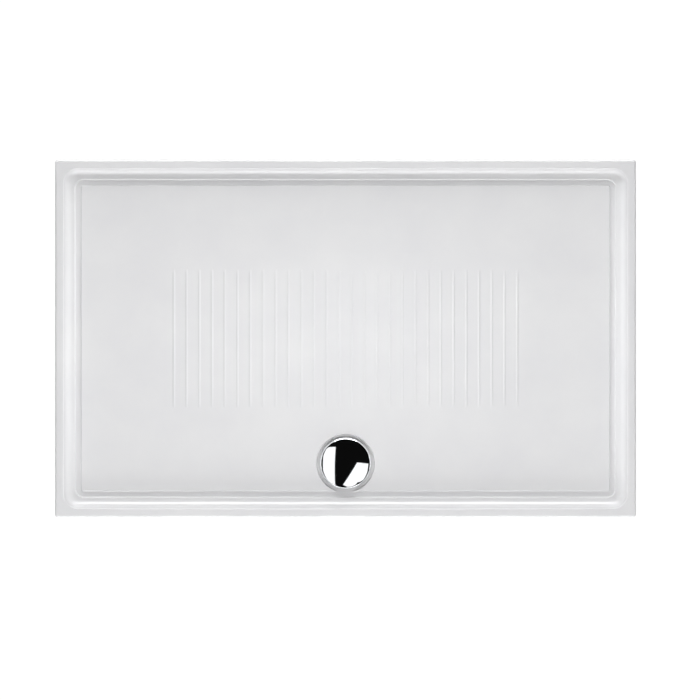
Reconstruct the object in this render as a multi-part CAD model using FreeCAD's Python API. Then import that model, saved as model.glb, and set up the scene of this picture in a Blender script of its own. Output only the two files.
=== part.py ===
import FreeCAD, Part
import math
import os

from FreeCAD import Vector

# A ceramic shower tray on six adjustable feet, with its chrome domed waste and water trap.
# Millimetres. +Z is up, the long side lies along X, and the waste is near the -Y side.
# The origin is on the floor, under the middle of the tray.

# ---------------------------------------------------------------- tray, one ceramic casting
tray_length = 1300.0
tray_width = 800.0
tray_height = 65.0               # foot of the skirt to the rim
skirt_lift = 95.0                # floor to the foot of the skirt, feet screwed right in
tray_corner_radius = 6.5         # upright outer corners
rim_outer_round = 5.0            # outer edge of the rim
rim_inner_round = 3.0            # where the rim turns down into the cove
skirt_foot_round = 3.0
rim_width = 20.0                 # outer face to the top of the cove
cove_radius = 24.0               # concave slope between rim and groove
basin_corner_radius = 32.0       # corners of the basin at the rim
rim_to_floor = 18.0              # rim down to the platform, at its back edge
floor_fall = 8.0                 # how much lower the platform's front edge is
groove_width = 14.0
groove_depth = 4.0
groove_corner_radius = 20.0      # outer wall of the groove
groove_edge_round = 1.5          # edges of the platform and of the groove's outer wall
groove_root_round = 2.0
platform_corner_radius = 3.0
floor_thickness = 14.0
skirt_thickness = 20.0
chamber_corner_radius = 20.0     # corners of the hollow underside
web_thickness = 12.0             # cast webs that cross the hollow underside
boss_radius = 36.0               # cast bosses that the feet bear on
boss_recess = 17.0               # foot of the skirt up to the bosses' and webs' faces

# Anti-slip ridges on the platform
ridge_count = 28
ridge_pitch = 28.5
ridge_length = 325.0
ridge_width = 7.0
ridge_height = 1.2
ridge_fade = 30.0                # length over which each end sinks into the floor
ridge_root = 1.5                 # how deep a ridge is let into the floor

# Round dish that the groove drains into, with the waste's seat and hole in it
waste_edge_distance = 120.0      # tray's front face to the middle of the waste
dish_radius = 65.0
dish_depth = 4.5                 # platform down to the dish, at the middle of the waste
dish_lip_round = 2.0
dish_root_round = 2.0
seat_radius = 55.0               # sunk seat under the cover, for the waste's flange
seat_depth = 12.0                # platform down to the seat
seat_thickness = 13.0            # ceramic that the waste clamps
seat_boss_radius = 74.0
waste_hole_radius = 45.0

# ---------------------------------------------------------------- waste and trap
gasket_thickness = 2.0
gasket_inset = 1.0               # gaskets start this far outside the hole in the ceramic
flange_gasket_width = 5.0
trap_gasket_width = 13.0
flange_radius = 52.0
flange_thickness = 3.0
collar_gap = 2.0                 # flange collar to the hole in the ceramic
collar_wall = 3.5
collar_end_gap = 1.5             # flange collar stops this far above the end of the trap's collar
thread_gap = 0.2                 # between the two screwed collars
tube_seat_depth = 13.0           # flange face down to the ledge that carries the dip tube
tube_seat_width = 4.0
tube_seat_thickness = 2.0

cover_radius = 58.0
cover_gap = 5.5                  # slot for the water, between dish and cover
cover_rim_height = 1.0           # short upright edge
cover_bevel_width = 3.6          # steep band round the dome
cover_bevel_height = 4.2
cover_crown = 7.0                # rise of the dome above its bevel
cover_wall = 1.5
cover_shoulder_round = 1.6       # where the dome turns down into the bevel
fin_count = 4
fin_thickness = 3.0
fin_clearance = 0.1              # carrier to the inside of the dome
fin_foot_width = 7.0             # each fin's foot on the flange
fin_first_turn = 45.0            # degrees from +X to the first fin
hub_radius = 9.0
hub_gap = 1.0                    # carrier's hub stands off the strainer
stem_radius = 4.0
stem_clearance = 0.3
stem_length = 11.0               # hub down into the strainer's socket

slide_clearance = 0.3            # round each piece that lifts out
strainer_height = 7.0
strainer_wall = 2.0
strainer_socket_wall = 2.5
strainer_hole_radius = 2.6
strainer_row_count = 3           # rings of holes round the socket
strainer_first_row = 12.0        # radius of the innermost ring
strainer_row_step = 7.5
strainer_hole_spacing = 9.0      # least distance between holes along a ring
tube_ring_height = 10.0
tube_ring_wall = 4.0
tube_step_width = 3.0            # ledge inside the dip tube that carries the strainer
tube_step_height = 2.0
tube_cone_height = 9.0
tube_radius = 30.0
tube_wall = 2.0
o_ring_radius = 1.5
o_ring_clearance = 0.1           # all round the ring's section, so that it slides free
o_ring_height = 3.5              # ledge up to the middle of the ring

trap_gasket_thickness = 3.0
trap_radius = 60.0
trap_wall = 3.0
trap_head_thickness = 5.0
trap_collar_length = 12.0
trap_collar_wall = 3.3
water_seal = 50.0                # dip tube's mouth up to the top of the weir
weir_gap = 7.7                   # top of the weir up to the trap's collar
weir_wall = 2.5
weir_seat_depth = 1.0            # how far the weir's foot is let into the bowl's floor
weir_clearance = 8.0             # dip tube to the weir
mouth_gap = 7.0                  # dip tube's mouth to the bowl's floor

pipe_radius = 20.0               # waste pipe that the outlet takes
pipe_clearance = 0.15
pipe_stop_width = 2.0
pipe_depth = 28.0                # how far the pipe goes in
outlet_wall = 4.0
outlet_reach = 32.0              # bowl's wall to the outlet's mouth
outlet_floor_gap = 3.0           # bowl's floor to the outlet's bore
nut_clearance = 0.05             # running fit of the union nut on the outlet
nut_wall = 5.5
nut_overlap = 17.0               # how far the nut reaches back over the outlet
nut_lip = 2.5
nut_rib_count = 12
nut_rib_radius = 2.0
washer_thickness = 4.0
washer_inset = 0.4
slip_ring_thickness = 1.5
nut_lip_clearance = 0.6          # union nut's lip to the pipe

# ---------------------------------------------------------------- adjustable feet
corner_foot_inset = 110.0        # tray's faces to the middle of each corner foot
middle_foot_x = 190.0            # two feet under the standing area, on the long axis
pad_radius = 30.0
pad_thickness = 3.0
socket_flange_thickness = 6.0
socket_roof = 5.0                # plastic above the rod's blind hole
socket_radius = 13.0
socket_length = 41.0
gusset_count = 4
gusset_thickness = 3.0
gusset_margin = 2.0              # gussets stop this far inside the flange
gusset_first_turn = 45.0         # degrees from +X to the first gusset
rod_radius = 6.0
rod_clearance = 0.3
rod_end_gap = 1.0
rod_chamfer = 1.0
nut_flats = 18.0                 # across the flats of the foot's nut
nut_height = 10.0
base_radius = 32.0
base_thickness = 6.0
base_floor = 4.0                 # plastic under the end of the rod
hub_height = 24.0                # base's underside up to the top of its hub
hub_wall = 6.0
sole_thickness = 3.0
sole_wall = 2.5
sole_lip = 3.5                   # how far the sole reaches up round the base

# ---------------------------------------------------------------- worked out from the above
OVER = 1.0                       # cutting shapes run this far past what they cut
UP = Vector(0, 0, 1)
ORIGIN = Vector(0, 0, 0)

rim_z = skirt_lift + tray_height
platform_inset = rim_width + cove_radius + groove_width
platform_length = tray_length - 2 * platform_inset
platform_width = tray_width - 2 * platform_inset
platform_z = rim_z - rim_to_floor - floor_fall / 2       # at the middle of the platform
fall_angle = math.degrees(math.atan2(floor_fall, platform_width))
boss_face_z = skirt_lift + boss_recess

waste_y = waste_edge_distance - tray_width / 2
waste_floor_z = platform_z + waste_y * floor_fall / platform_width
dish_z = waste_floor_z - dish_depth
seat_z = waste_floor_z - seat_depth
clamp_z = seat_z - seat_thickness

flange_z = seat_z + gasket_thickness                     # underside of the flange
flange_top_z = flange_z + flange_thickness
collar_radius = waste_hole_radius - collar_gap
throat_radius = collar_radius - collar_wall
tube_seat_z = flange_top_z - tube_seat_depth
tube_ring_radius = throat_radius - slide_clearance
step_radius = tube_ring_radius - tube_ring_wall - tube_step_width
strainer_z = tube_seat_z + tube_step_height
strainer_radius = tube_ring_radius - tube_ring_wall - slide_clearance
strainer_top_z = strainer_z + strainer_height
cover_z = dish_z + cover_gap                             # underside of the dome's rim
cover_top_z = cover_z + cover_rim_height + cover_bevel_height + cover_crown

head_z = clamp_z - trap_gasket_thickness                 # top of the trap's head
collar_end_z = head_z - trap_head_thickness - trap_collar_length
weir_top_z = collar_end_z - weir_gap
mouth_z = weir_top_z - water_seal
bowl_floor_z = mouth_z - mouth_gap
bowl_z = bowl_floor_z - trap_wall
weir_radius = tube_radius + weir_clearance

bore_radius = pipe_radius + pipe_clearance
outlet_radius = bore_radius + outlet_wall
outlet_z = bowl_floor_z + outlet_floor_gap + bore_radius
outlet_mouth_y = waste_y + trap_radius + outlet_reach
nut_bore = outlet_radius + nut_clearance
union_end_y = outlet_mouth_y + washer_thickness + slip_ring_thickness + nut_lip

socket_top_z = boss_face_z - pad_thickness
socket_end_z = socket_top_z - socket_length
rod_top_z = socket_top_z - socket_roof - rod_end_gap
rod_z = sole_thickness + base_floor
corner_foot_x = tray_length / 2 - corner_foot_inset
corner_foot_y = tray_width / 2 - corner_foot_inset
feet = {
    "front_left": (-corner_foot_x, -corner_foot_y),
    "front_right": (corner_foot_x, -corner_foot_y),
    "back_left": (-corner_foot_x, corner_foot_y),
    "back_right": (corner_foot_x, corner_foot_y),
    "middle_left": (-middle_foot_x, 0.0),
    "middle_right": (middle_foot_x, 0.0),
}


# ---------------------------------------------------------------- shapes used by many pieces
def cylinder(radius, low, high, x=0.0, y=0.0):
    return Part.makeCylinder(radius, high - low, Vector(x, y, low))


def ring(inner, outer, low, high, x=0.0, y=0.0):
    return cylinder(outer, low, high, x, y).cut(cylinder(inner, low - OVER, high + OVER, x, y))


def box(length, width, low, high, x=0.0, y=0.0):
    return Part.makeBox(length, width, high - low, Vector(x - length / 2, y - width / 2, low))


def is_upright(edge):
    return edge.BoundBox.ZLength > edge.BoundBox.XLength + edge.BoundBox.YLength


def edges_at(shape, z):
    return [edge for edge in shape.Edges
            if edge.BoundBox.ZLength < 0.01 and abs(edge.BoundBox.ZMin - z) < 0.01]


def block(length, width, low, high, corner_radius):
    """A box about the Z axis with rounded upright edges."""
    plain = box(length, width, low, high)
    return plain.makeFillet(corner_radius, [edge for edge in plain.Edges if is_upright(edge)])


def revolved(corners, y=0.0):
    """A solid turned about the upright axis at X = 0 through y, from corners (radius, z)."""
    points = [Vector(radius, y, z) for radius, z in corners]
    face = Part.Face(Part.makePolygon(points + points[:1]))
    return face.revolve(Vector(0, y, 0), UP, 360)


def regular_prism(flats, sides, low, high, x, y):
    corner = flats / 2 / math.cos(math.pi / sides)
    turns = [2 * math.pi * (i + 0.5) / sides for i in range(sides)]
    points = [Vector(x + corner * math.cos(a), y + corner * math.sin(a), low) for a in turns]
    return Part.Face(Part.makePolygon(points + points[:1])).extrude(UP * (high - low))


def on_floor(shape):
    """Lays a shape made about the platform's plane, z = 0, onto the sloping platform."""
    laid = shape.copy()
    laid.rotate(ORIGIN, Vector(1, 0, 0), fall_angle)
    laid.translate(Vector(0, 0, platform_z))
    return laid


def save(name, shape):
    solid = shape.removeSplitter()
    solid.exportStep("parts/" + name + ".step")


# ---------------------------------------------------------------- tray
def basin():
    """The space above the floor: a pan with a cove all round, and the groove sunk below it."""
    pan_length = tray_length - 2 * rim_width
    pan_width = tray_width - 2 * rim_width
    pan = block(pan_length, pan_width, 0, tray_height, basin_corner_radius)
    pan = pan.makeFillet(cove_radius, edges_at(pan, 0))
    groove = block(platform_length + 2 * groove_width, platform_width + 2 * groove_width,
                   -groove_depth, OVER, groove_corner_radius)
    groove = groove.cut(block(platform_length, platform_width, -groove_depth - OVER, 2 * OVER,
                              platform_corner_radius))
    groove = groove.makeFillet(groove_root_round, edges_at(groove, -groove_depth))
    space = pan.fuse(groove).removeSplitter()
    return on_floor(space.makeFillet(groove_edge_round, edges_at(space, 0)))


def ridge(x):
    """One anti-slip ridge along Y: part of a round bar whose ends curve down into the floor."""
    bar_radius = (ridge_width ** 2 / 4 + ridge_height ** 2) / (2 * ridge_height)
    sink = ridge_height + ridge_root / 2
    end_radius = (ridge_fade ** 2 + sink ** 2) / (2 * sink)
    half_turn = math.asin(ridge_fade / end_radius) / 2
    straight = ridge_length / 2 - ridge_fade
    middle = Vector(0, straight + end_radius * math.sin(half_turn),
                    bar_radius - end_radius * (1 - math.cos(half_turn)))
    tip = Vector(0, ridge_length / 2, bar_radius - sink)
    crest = Vector(0, straight, bar_radius)
    flip = FreeCAD.Placement(ORIGIN, FreeCAD.Rotation(UP, 180))
    edges = [
        Part.Arc(tip, middle, crest).toShape(),
        Part.makeLine(crest, flip.multVec(crest)),
        Part.Arc(flip.multVec(crest), flip.multVec(middle), flip.multVec(tip)).toShape(),
        Part.makeLine(flip.multVec(tip), Vector(0, -ridge_length / 2, 0)),
        Part.makeLine(Vector(0, -ridge_length / 2, 0), Vector(0, ridge_length / 2, 0)),
        Part.makeLine(Vector(0, ridge_length / 2, 0), tip),
    ]
    bar = Part.Face(Part.Wire(edges)).revolve(ORIGIN, Vector(0, 1, 0), 360)
    bar.translate(Vector(x, 0, ridge_height - bar_radius))
    return bar.common(box(ridge_width * 2, ridge_length, -ridge_root, ridge_height * 2, x))


def ridges():
    first = -ridge_pitch * (ridge_count - 1) / 2
    return [on_floor(ridge(first + i * ridge_pitch)) for i in range(ridge_count)]


def underside():
    """The hollow below the floor, less the webs and bosses that stand in it."""
    hollow = block(tray_length - 2 * skirt_thickness, tray_width - 2 * skirt_thickness,
                   skirt_lift - OVER, rim_z, chamber_corner_radius)
    below_floor = box(2 * tray_length, 2 * tray_width, -tray_height * 2, -floor_thickness)
    hollow = hollow.common(on_floor(below_floor))
    kept = [box(web_thickness, tray_width, boss_face_z, rim_z, x)
            for x in (-corner_foot_x, -middle_foot_x, middle_foot_x, corner_foot_x)]
    kept += [box(tray_length, web_thickness, boss_face_z, rim_z, 0, y)
             for y in (-corner_foot_y, 0, corner_foot_y)]
    kept += [cylinder(boss_radius, boss_face_z, rim_z, x, y) for x, y in feet.values()]
    kept.append(cylinder(seat_boss_radius, clamp_z, rim_z, 0, waste_y))
    return hollow.cut(kept)


def waste_recess():
    """The shallow dish, the flange's seat sunk in it, and the hole through the ceramic."""
    dish = cylinder(dish_radius, dish_z, rim_z, 0, waste_y)
    dish = dish.makeFillet(dish_root_round, edges_at(dish, dish_z))
    lip_radius = dish_radius + dish_lip_round
    lip = cylinder(lip_radius, waste_floor_z - dish_lip_round, rim_z, 0, waste_y)
    rounding = Part.makeTorus(lip_radius, dish_lip_round,
                              Vector(0, waste_y, waste_floor_z - dish_lip_round))
    seat = cylinder(seat_radius, seat_z, rim_z, 0, waste_y)
    hole = cylinder(waste_hole_radius, clamp_z - OVER, rim_z, 0, waste_y)
    return dish.fuse([lip.cut(rounding), seat, hole])


def make_tray():
    body = block(tray_length, tray_width, skirt_lift, rim_z, tray_corner_radius)
    body = body.makeFillet(rim_outer_round, edges_at(body, rim_z))
    body = body.makeFillet(skirt_foot_round, edges_at(body, skirt_lift))
    body = body.cut(basin())
    rim_reach = tray_length / 2 - rim_outer_round - OVER
    inner = [edge for edge in edges_at(body, rim_z) if edge.BoundBox.XMax < rim_reach
             and edge.BoundBox.XMin > -rim_reach
             and edge.BoundBox.YMax < tray_width / 2 - rim_outer_round - OVER
             and edge.BoundBox.YMin > rim_outer_round + OVER - tray_width / 2]
    body = body.makeFillet(rim_inner_round, inner)
    body = body.cut(underside())
    body = body.fuse(ridges())
    save("tray", body.cut(waste_recess()))


# ---------------------------------------------------------------- waste
def make_waste():
    gasket_bore = waste_hole_radius + gasket_inset
    save("flange_gasket", ring(gasket_bore, gasket_bore + flange_gasket_width,
                               seat_z, flange_z, 0, waste_y))
    flange_end_z = collar_end_z + collar_end_gap
    save("waste_flange", revolved([
        (throat_radius, flange_top_z),
        (flange_radius, flange_top_z),
        (flange_radius, flange_z),
        (collar_radius, flange_z),
        (collar_radius, flange_end_z),
        (throat_radius, flange_end_z),
        (throat_radius, tube_seat_z - tube_seat_thickness),
        (throat_radius - tube_seat_width, tube_seat_z - tube_seat_thickness),
        (throat_radius - tube_seat_width, tube_seat_z),
        (throat_radius, tube_seat_z),
    ], waste_y))
    save("trap_gasket", ring(gasket_bore, gasket_bore + trap_gasket_width,
                             head_z, clamp_z, 0, waste_y))


def make_dip_tube():
    inside = tube_ring_radius - tube_ring_wall
    ring_top_z = tube_seat_z + tube_ring_height
    cone_radius = throat_radius - tube_seat_width - slide_clearance
    cone_z = tube_seat_z - tube_seat_thickness
    tube_top_z = cone_z - tube_cone_height
    tube = revolved([
        (inside, ring_top_z),
        (tube_ring_radius, ring_top_z),
        (tube_ring_radius, tube_seat_z),
        (cone_radius, tube_seat_z),
        (cone_radius, cone_z),
        (tube_radius, tube_top_z),
        (tube_radius, mouth_z),
        (tube_radius - tube_wall, mouth_z),
        (tube_radius - tube_wall, tube_top_z),
        (cone_radius - tube_wall, cone_z),
        (step_radius, tube_seat_z),
        (step_radius, strainer_z),
        (inside, strainer_z),
    ], waste_y)
    ring_z = tube_seat_z + o_ring_height
    groove_half = o_ring_radius + o_ring_clearance
    seal_radius = throat_radius - groove_half
    groove = ring(seal_radius - groove_half, throat_radius, ring_z - groove_half,
                  ring_z + groove_half, 0, waste_y)
    save("dip_tube", tube.cut(groove))
    seal = Part.makeTorus(seal_radius, o_ring_radius)
    seal.translate(Vector(0, waste_y, ring_z))
    save("dip_tube_o_ring", seal)


def make_strainer():
    bore = stem_radius + stem_clearance
    cup = ring(strainer_radius - strainer_wall, strainer_radius, strainer_z, strainer_top_z,
               0, waste_y)
    plate = cylinder(strainer_radius, strainer_z, strainer_z + strainer_wall, 0, waste_y)
    socket = cylinder(bore + strainer_socket_wall, strainer_z, strainer_top_z, 0, waste_y)
    holes = [cylinder(bore, strainer_z - OVER, strainer_top_z + OVER, 0, waste_y)]
    for row in range(strainer_row_count):
        row_radius = strainer_first_row + row * strainer_row_step
        hole_count = int(2 * math.pi * row_radius / strainer_hole_spacing)
        for i in range(hole_count):
            turn = 2 * math.pi * i / hole_count
            holes.append(cylinder(strainer_hole_radius, strainer_z - OVER,
                                  strainer_z + strainer_wall + OVER,
                                  row_radius * math.cos(turn),
                                  waste_y + row_radius * math.sin(turn)))
    save("hair_strainer", cup.fuse([plate, socket]).cut(holes))


def dome(inset, low):
    """A solid cap, inset inside the cover's outer face: an upright edge, a steep bevel and a
    crown that is part of a ball. Its flat underside is at low."""
    slope = math.atan2(cover_bevel_height, cover_bevel_width)
    edge = cover_radius - inset
    bevel_z = cover_z + cover_rim_height - inset * math.tan((math.pi / 2 - slope) / 2)
    cone = revolved([(0, low), (edge, low), (edge, bevel_z),
                     (0, bevel_z + edge * math.tan(slope))], waste_y)
    shoulder = cover_radius - cover_bevel_width
    ball_radius = (shoulder ** 2 + cover_crown ** 2) / (2 * cover_crown)
    ball = Part.makeSphere(ball_radius - inset, Vector(0, waste_y, cover_top_z - ball_radius))
    return cone.common(ball)


def make_cover():
    outside = dome(0, cover_z)
    outside = outside.makeFillet(cover_shoulder_round,
                                 edges_at(outside, cover_top_z - cover_crown))
    save("dome_cover", outside.cut(dome(cover_wall, cover_z - OVER)))
    room = dome(cover_wall + fin_clearance, flange_top_z)
    reach = cover_radius - cover_wall - fin_clearance
    foot_start = min(flange_radius, reach) - fin_foot_width
    hub_z = strainer_top_z + hub_gap
    stem_end_z = hub_z - stem_length
    pieces = [cylinder(hub_radius, hub_z, room.BoundBox.ZMax, 0, waste_y)]
    for i in range(fin_count):
        fin = box(reach, fin_thickness, cover_z, room.BoundBox.ZMax, reach / 2, waste_y)
        foot = box(fin_foot_width, fin_thickness, flange_top_z, cover_z + OVER,
                   foot_start + fin_foot_width / 2, waste_y)
        bar = fin.fuse(foot)
        bar.rotate(Vector(0, waste_y, 0), UP, fin_first_turn + 360 / fin_count * i)
        pieces.append(bar)
    spider = room.common(pieces[0].fuse(pieces[1:]))
    save("cover_carrier", spider.fuse(cylinder(stem_radius, stem_end_z, cover_z + OVER,
                                               0, waste_y)))


# ---------------------------------------------------------------- trap
def along_outlet(radius, start_y, end_y, aside=0.0, above=0.0):
    """A round bar along Y, on the outlet's axis or beside it."""
    return Part.makeCylinder(radius, end_y - start_y,
                             Vector(aside, start_y, outlet_z + above), Vector(0, 1, 0))


def make_trap():
    screwed_bore = collar_radius + thread_gap
    screwed_outside = screwed_bore + trap_collar_wall
    save("trap_head", revolved([
        (screwed_bore, head_z),
        (trap_radius, head_z),
        (trap_radius, head_z - trap_head_thickness),
        (screwed_outside, head_z - trap_head_thickness),
        (screwed_outside, collar_end_z),
        (screwed_bore, collar_end_z),
    ], waste_y))
    bowl_top_z = head_z - trap_head_thickness
    bowl = cylinder(trap_radius, bowl_z, bowl_top_z, 0, waste_y)
    bowl = bowl.fuse(along_outlet(outlet_radius, waste_y, outlet_mouth_y))
    bowl = bowl.cut(cylinder(trap_radius - trap_wall, bowl_floor_z, bowl_top_z + OVER,
                             0, waste_y))
    weir = ring(weir_radius, weir_radius + weir_wall, bowl_floor_z - weir_seat_depth,
                weir_top_z, 0, waste_y)
    save("trap_weir", weir)
    bore_start_y = outlet_mouth_y - pipe_depth
    bore = along_outlet(bore_radius, bore_start_y, outlet_mouth_y + OVER)
    port = along_outlet(bore_radius - pipe_stop_width,
                        waste_y + weir_radius + weir_wall + OVER, bore_start_y + OVER)
    save("trap_bowl", bowl.cut([weir, bore, port]))


def outlet_ring(inner, outer, start_y, end_y):
    return along_outlet(outer, start_y, end_y).cut(
        along_outlet(inner, start_y - OVER, end_y + OVER))


def make_union():
    washer_end_y = outlet_mouth_y + washer_thickness
    ring_end_y = washer_end_y + slip_ring_thickness
    save("outlet_washer", outlet_ring(bore_radius, outlet_radius - washer_inset,
                                      outlet_mouth_y, washer_end_y))
    save("outlet_slip_ring", outlet_ring(bore_radius, outlet_radius - washer_inset,
                                         washer_end_y, ring_end_y))
    outside = nut_bore + nut_wall
    start_y = outlet_mouth_y - nut_overlap
    nut = outlet_ring(pipe_radius + nut_lip_clearance, outside, start_y, union_end_y)
    nut = nut.cut(along_outlet(nut_bore, start_y - OVER, ring_end_y + nut_clearance))
    ribs = []
    for i in range(nut_rib_count):
        turn = 2 * math.pi * i / nut_rib_count
        ribs.append(along_outlet(nut_rib_radius, start_y, union_end_y,
                                 outside * math.cos(turn), outside * math.sin(turn)))
    save("outlet_nut", nut.fuse(ribs))


# ---------------------------------------------------------------- feet
def gussets(x, y, inner, outer, low, high):
    """Upright triangular webs between a tube and its flange. low is the tapered end."""
    webs = []
    for i in range(gusset_count):
        corners = [
            Vector(x + inner - OVER, y - gusset_thickness / 2, low),
            Vector(x + inner, y - gusset_thickness / 2, low),
            Vector(x + outer, y - gusset_thickness / 2, high),
            Vector(x + inner - OVER, y - gusset_thickness / 2, high),
        ]
        web = Part.Face(Part.makePolygon(corners + corners[:1]))
        web = web.extrude(Vector(0, gusset_thickness, 0))
        web.rotate(Vector(x, y, 0), UP, gusset_first_turn + 360 / gusset_count * i)
        webs.append(web)
    return webs


def make_foot(name, x, y):
    pad = cylinder(pad_radius, socket_top_z, boss_face_z, x, y)
    save("pad_" + name, pad)

    flange_low_z = socket_top_z - socket_flange_thickness
    socket = cylinder(pad_radius, flange_low_z, socket_top_z, x, y)
    tube = cylinder(socket_radius, socket_end_z, flange_low_z, x, y)
    webs = gussets(x, y, socket_radius, pad_radius - gusset_margin,
                   (socket_end_z + flange_low_z) / 2, flange_low_z)
    hole = cylinder(rod_radius + rod_clearance, socket_end_z - OVER,
                    socket_top_z - socket_roof, x, y)
    save("socket_" + name, socket.fuse([tube] + webs).cut(hole))

    nut_low_z = socket_end_z - nut_height
    nut = regular_prism(nut_flats, 6, nut_low_z, socket_end_z, x, y)
    round_nut = cylinder(nut_flats / 2 / math.cos(math.pi / 6) - rod_chamfer / 2,
                         nut_low_z - OVER, socket_end_z + OVER, x, y)
    nut = nut.common(round_nut)
    save("nut_" + name, nut.cut(cylinder(rod_radius + rod_clearance, nut_low_z - OVER,
                                         socket_end_z + OVER, x, y)))

    rod = cylinder(rod_radius, rod_z, rod_top_z, x, y)
    save("rod_" + name, rod.makeChamfer(rod_chamfer, edges_at(rod, rod_z)
                                        + edges_at(rod, rod_top_z)))

    base_top_z = sole_thickness + base_thickness
    hub_top_z = sole_thickness + hub_height
    base = cylinder(base_radius, sole_thickness, base_top_z, x, y)
    hub = cylinder(rod_radius + hub_wall, sole_thickness, hub_top_z, x, y)
    webs = gussets(x, y, rod_radius + hub_wall, base_radius - gusset_margin,
                   hub_top_z, base_top_z)
    hole = cylinder(rod_radius, rod_z, hub_top_z + OVER, x, y)
    save("base_" + name, base.fuse([hub] + webs).cut(hole))

    sole = cylinder(base_radius + sole_wall, 0, sole_thickness + sole_lip, x, y)
    save("sole_" + name, sole.cut(cylinder(base_radius, sole_thickness,
                                           sole_thickness + sole_lip + OVER, x, y)))


os.makedirs("parts", exist_ok=True)
make_tray()
make_waste()
make_dip_tube()
make_strainer()
make_cover()
make_trap()
make_union()
for foot_name, (foot_x, foot_y) in feet.items():
    make_foot("foot_" + foot_name, foot_x, foot_y)
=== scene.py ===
import math

import bmesh
import bpy
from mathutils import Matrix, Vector


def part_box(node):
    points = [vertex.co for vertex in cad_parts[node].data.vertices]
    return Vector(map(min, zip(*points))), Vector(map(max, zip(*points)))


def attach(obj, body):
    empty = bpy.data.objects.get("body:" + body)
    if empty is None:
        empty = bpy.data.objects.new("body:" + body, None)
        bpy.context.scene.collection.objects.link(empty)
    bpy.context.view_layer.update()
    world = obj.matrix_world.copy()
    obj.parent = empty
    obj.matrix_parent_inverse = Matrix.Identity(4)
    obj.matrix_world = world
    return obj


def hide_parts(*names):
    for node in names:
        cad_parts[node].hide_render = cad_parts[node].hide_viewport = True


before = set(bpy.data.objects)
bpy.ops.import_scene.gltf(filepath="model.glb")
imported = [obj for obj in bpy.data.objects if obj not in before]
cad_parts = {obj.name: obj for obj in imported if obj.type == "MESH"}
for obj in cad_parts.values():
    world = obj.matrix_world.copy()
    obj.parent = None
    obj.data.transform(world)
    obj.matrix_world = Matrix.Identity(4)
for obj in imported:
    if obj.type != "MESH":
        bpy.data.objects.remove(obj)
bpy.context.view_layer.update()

# ---------------------------------------------------------------- ceramic tray
# One hollow casting of white fireclay with a flat rim, a cove down to a drainage groove, and a
# raised floor that falls towards the waste. The top and the outside are glazed and the ribbed
# underside is left as it came from the mould. It is fired in one piece with its ridges.
MM = 0.001
LENGTH, WIDTH = 1300, 800
FOOT_Z, RIM_Z = 95, 160
FLOOR_Z = 138                    # floor of the basin at its middle
FALL = math.atan2(8, 684)        # the floor drops 8 mm over its width
WASTE_Y = -280
CORNER_STEPS = 10


def srgb(code):
    """A hex colour as it is seen, turned to the linear values that the shaders use."""
    parts = [int(code[i:i + 2], 16) / 255 for i in (1, 3, 5)]
    return [c / 12.92 if c <= 0.04045 else ((c + 0.055) / 1.055) ** 2.4 for c in parts] + [1]


def add_node(tree, kind, settings=None, inputs=None, stops=None):
    made = tree.nodes.new(kind)
    for name, value in (settings or {}).items():
        setattr(made, name, value)
    for name, value in (inputs or {}).items():
        if isinstance(value, bpy.types.NodeSocket):
            tree.links.new(value, made.inputs[name])
        else:
            made.inputs[name].default_value = value
    if stops:
        points = made.color_ramp.elements
        points[0].position, points[1].position = stops[0][0], stops[-1][0]
        points[0].color, points[-1].color = srgb(stops[0][1]), srgb(stops[-1][1])
        for position, code in stops[1:-1]:
            points.new(position).color = srgb(code)
    return made


def new_material(name, shader_settings):
    """A material with one shader, and the object's own coordinates for its patterns."""
    material = bpy.data.materials.new(name)
    material.use_nodes = True
    tree = material.node_tree
    tree.nodes.clear()
    place = add_node(tree, "ShaderNodeTexCoord").outputs["Object"]
    shader = add_node(tree, "ShaderNodeBsdfPrincipled", None, shader_settings)
    add_node(tree, "ShaderNodeOutputMaterial", None, {"Surface": shader.outputs["BSDF"]})
    return material, tree, place, shader


# Vitreous glaze on fireclay, sprayed and fired: nearly mirror smooth, with the faint waviness
# of a thick glaze (about 15 mm across) and hardly any change of tone.
glaze, tree, place, shader = new_material("fired_white_glaze", {
    "Roughness": 0.14, "IOR": 1.52, "Coat Weight": 0.25, "Coat Roughness": 0.05})
tone = add_node(tree, "ShaderNodeTexNoise", None,
                {"Vector": place, "Scale": 9.0, "Detail": 3.0})
ramp = add_node(tree, "ShaderNodeValToRGB", None, {"Fac": tone.outputs["Fac"]},
                [(0.3, "#EDEDEF"), (0.7, "#F1F1F2")])
tree.links.new(ramp.outputs["Color"], shader.inputs["Base Color"])
wave = add_node(tree, "ShaderNodeTexNoise", None,
                {"Vector": place, "Scale": 66.0, "Detail": 1.0})
bump = add_node(tree, "ShaderNodeBump", None,
                {"Strength": 0.06, "Distance": 0.0006, "Height": wave.outputs["Fac"]})
tree.links.new(bump.outputs["Normal"], shader.inputs["Normal"])

# The same fireclay without glaze, as the mould left it: dull, pale buff, with grog grains of
# about 1 mm that show as specks and as a sandy surface.
bare_clay, tree, place, shader = new_material("bare_cast_fireclay", {
    "Roughness": 0.92, "IOR": 1.5, "Specular IOR Level": 0.3})
cloud = add_node(tree, "ShaderNodeTexNoise", None, {"Vector": place, "Scale": 14.0, "Detail": 5.0})
grog = add_node(tree, "ShaderNodeTexNoise", None, {"Vector": place, "Scale": 900.0, "Detail": 2.0})
both = add_node(tree, "ShaderNodeMath", {"operation": "MULTIPLY_ADD"},
                {0: grog.outputs["Fac"], 1: 0.45, 2: cloud.outputs["Fac"]})
ramp = add_node(tree, "ShaderNodeValToRGB", None, {"Fac": both.outputs["Value"]},
                [(0.45, "#BFB19C"), (0.72, "#D3C8B6"), (1.0, "#DDD4C5")])
tree.links.new(ramp.outputs["Color"], shader.inputs["Base Color"])
bump = add_node(tree, "ShaderNodeBump", None,
                {"Strength": 0.5, "Distance": 0.0008, "Height": grog.outputs["Fac"]})
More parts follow.
